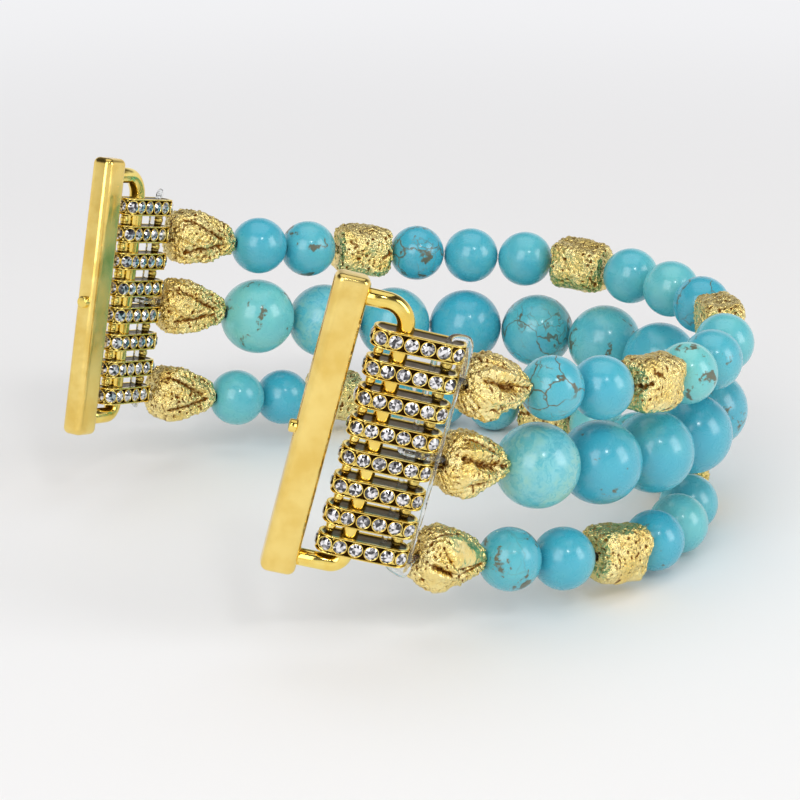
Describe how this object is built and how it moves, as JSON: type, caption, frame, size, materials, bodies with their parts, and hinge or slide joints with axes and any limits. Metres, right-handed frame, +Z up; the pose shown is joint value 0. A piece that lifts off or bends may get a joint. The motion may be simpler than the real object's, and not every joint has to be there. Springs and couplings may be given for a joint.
{
  "type": "stretch watch band",
  "caption": "Stretch beaded watch band: three strands of turquoise beads and gold nuggets on clear elastic, rhinestone bar stacks at the ends, wire bails and slide-in lug bars.",
  "frame": {"origin": "centre of the bounding box at its lowest level, where the bottom strand rests", "axes": "+X from the lug bars to the round back of the loop, +Y from the front end to the rear end, +Z up, across the band's width; the rear half mirrors the front half through Y = 0"},
  "size_m": [0.0653, 0.061, 0.0361],
  "materials": {
    "gold_plate": "high-shine yellow gold plating",
    "turquoise": "polished stone, sky blue to teal, veined and mottled on some beads",
    "crystal": "clear faceted rhinestone with a foiled back",
    "clear_elastic": "clear stretch cord",
    "steel": "spring wire"
  },
  "bodies": {
    "centre": {"centre_small_beads": "turquoise", "centre_large_beads": "turquoise", "outer_elastic": "clear_elastic", "middle_elastic": "clear_elastic"},
    "front_link_2": {"front_link_bead_2": "turquoise", "front_top_nugget_2": "gold_plate", "front_bottom_nugget_2": "gold_plate"},
    "front_run_2": {"front_small_beads_2": "turquoise", "front_large_beads_2": "turquoise"},
    "front_link_1": {"front_link_bead_1": "turquoise", "front_top_nugget_1": "gold_plate", "front_bottom_nugget_1": "gold_plate"},
    "front_run_1": {"front_small_beads_1": "turquoise", "front_large_bead_1": "turquoise", "front_top_end_nugget": "gold_plate", "front_middle_end_nugget": "gold_plate", "front_bottom_end_nugget": "gold_plate"},
    "front_stack": {"front_stone_bar_1": "gold_plate", "front_stone_bar_2": "gold_plate", "front_stone_bar_3": "gold_plate", "front_stone_bar_4": "gold_plate", "front_stone_bar_5": "gold_plate", "front_stone_bar_6": "gold_plate", "front_stone_bar_7": "gold_plate", "front_stone_bar_8": "gold_plate", "front_rhinestones": "crystal"},
    "front_lug": {"front_lug_bar": "gold_plate", "front_bail": "gold_plate", "front_lock_spring": "steel"},
    "front_pin": {"front_lock_pin": "gold_plate"},
    "rear_link_2": {"rear_link_bead_2": "turquoise", "rear_top_nugget_2": "gold_plate", "rear_bottom_nugget_2": "gold_plate"},
    "rear_run_2": {"rear_small_beads_2": "turquoise", "rear_large_beads_2": "turquoise"},
    "rear_link_1": {"rear_link_bead_1": "turquoise", "rear_top_nugget_1": "gold_plate", "rear_bottom_nugget_1": "gold_plate"},
    "rear_run_1": {"rear_small_beads_1": "turquoise", "rear_large_bead_1": "turquoise", "rear_top_end_nugget": "gold_plate", "rear_middle_end_nugget": "gold_plate", "rear_bottom_end_nugget": "gold_plate"},
    "rear_stack": {"rear_stone_bar_1": "gold_plate", "rear_stone_bar_2": "gold_plate", "rear_stone_bar_3": "gold_plate", "rear_stone_bar_4": "gold_plate", "rear_stone_bar_5": "gold_plate", "rear_stone_bar_6": "gold_plate", "rear_stone_bar_7": "gold_plate", "rear_stone_bar_8": "gold_plate", "rear_rhinestones": "crystal"},
    "rear_lug": {"rear_lug_bar": "gold_plate", "rear_bail": "gold_plate", "rear_lock_spring": "steel"},
    "rear_pin": {"rear_lock_pin": "gold_plate"}
  },
  "joints": [
    {"name": "front_stretch_2", "type": "slide", "parent": "centre", "child": "front_link_2", "axis": [-0.4172, -0.9088, 0], "range_m": [0, 0.0025], "stiffness_N_per_m": 400, "deforming": ["outer_elastic", "middle_elastic"]},
    {"name": "front_flex_2", "type": "hinge", "parent": "front_link_2", "child": "front_run_2", "pos_m": [0.02301, -0.01492, 0.01148], "axis": [0.2187, 0.0054, 0.9758], "range_deg": [-10, 10], "stiffness_Nm_per_rad": 0.02, "deforming": ["outer_elastic", "middle_elastic"]},
    {"name": "front_stretch_1", "type": "slide", "parent": "front_run_2", "child": "front_link_1", "axis": [-0.9591, -0.2578, 0.1171], "range_m": [0, 0.0025], "stiffness_N_per_m": 400, "deforming": ["outer_elastic", "middle_elastic"]},
    {"name": "front_flex_1", "type": "hinge", "parent": "front_link_1", "child": "front_run_1", "pos_m": [0.00139, -0.0256, 0.01329], "axis": [0.2057, 0.0049, 0.9786], "range_deg": [-10, 10], "stiffness_Nm_per_rad": 0.02, "deforming": ["outer_elastic", "middle_elastic"]},
    {"name": "front_end_hinge", "type": "hinge", "parent": "front_run_1", "child": "front_stack", "pos_m": [-0.01794, -0.02704, 0.01862], "axis": [0.2136, -0.1136, 0.9703], "range_deg": [0, 35], "stiffness_Nm_per_rad": 0.01, "deforming": ["outer_elastic", "middle_elastic"]},
    {"name": "front_swivel", "type": "hinge", "parent": "front_stack", "child": "front_lug", "pos_m": [-0.02332, -0.02418, 0.02014], "axis": [0.2136, -0.1136, 0.9703], "range_deg": [-30, 30]},
    {"name": "front_pin_press", "type": "slide", "parent": "front_lug", "child": "front_pin", "axis": [0.8567, -0.4555, -0.2419], "range_m": [0, 0.0005], "stiffness_N_per_m": 300, "deforming": ["front_lock_spring"]},
    {"name": "rear_stretch_2", "type": "slide", "parent": "centre", "child": "rear_link_2", "axis": [-0.4172, 0.9088, 0], "range_m": [0, 0.0025], "stiffness_N_per_m": 400, "deforming": ["outer_elastic", "middle_elastic"]},
    {"name": "rear_flex_2", "type": "hinge", "parent": "rear_link_2", "child": "rear_run_2", "pos_m": [0.02301, 0.01492, 0.01148], "axis": [0.2187, -0.0054, 0.9758], "range_deg": [-10, 10], "stiffness_Nm_per_rad": 0.02, "deforming": ["outer_elastic", "middle_elastic"]},
    {"name": "rear_stretch_1", "type": "slide", "parent": "rear_run_2", "child": "rear_link_1", "axis": [-0.9591, 0.2578, 0.1171], "range_m": [0, 0.0025], "stiffness_N_per_m": 400, "deforming": ["outer_elastic", "middle_elastic"]},
    {"name": "rear_flex_1", "type": "hinge", "parent": "rear_link_1", "child": "rear_run_1", "pos_m": [0.00139, 0.0256, 0.01329], "axis": [0.2057, -0.0049, 0.9786], "range_deg": [-10, 10], "stiffness_Nm_per_rad": 0.02, "deforming": ["outer_elastic", "middle_elastic"]},
    {"name": "rear_end_hinge", "type": "hinge", "parent": "rear_run_1", "child": "rear_stack", "pos_m": [-0.01794, 0.02704, 0.01862], "axis": [0.2136, 0.1136, 0.9703], "range_deg": [-35, 0], "stiffness_Nm_per_rad": 0.01, "deforming": ["outer_elastic", "middle_elastic"]},
    {"name": "rear_swivel", "type": "hinge", "parent": "rear_stack", "child": "rear_lug", "pos_m": [-0.02332, 0.02418, 0.02014], "axis": [0.2136, 0.1136, 0.9703], "range_deg": [-30, 30]},
    {"name": "rear_pin_press", "type": "slide", "parent": "rear_lug", "child": "rear_pin", "axis": [0.8567, 0.4555, -0.2419], "range_m": [0, 0.0005], "stiffness_N_per_m": 300, "deforming": ["rear_lock_spring"]}
  ]
}
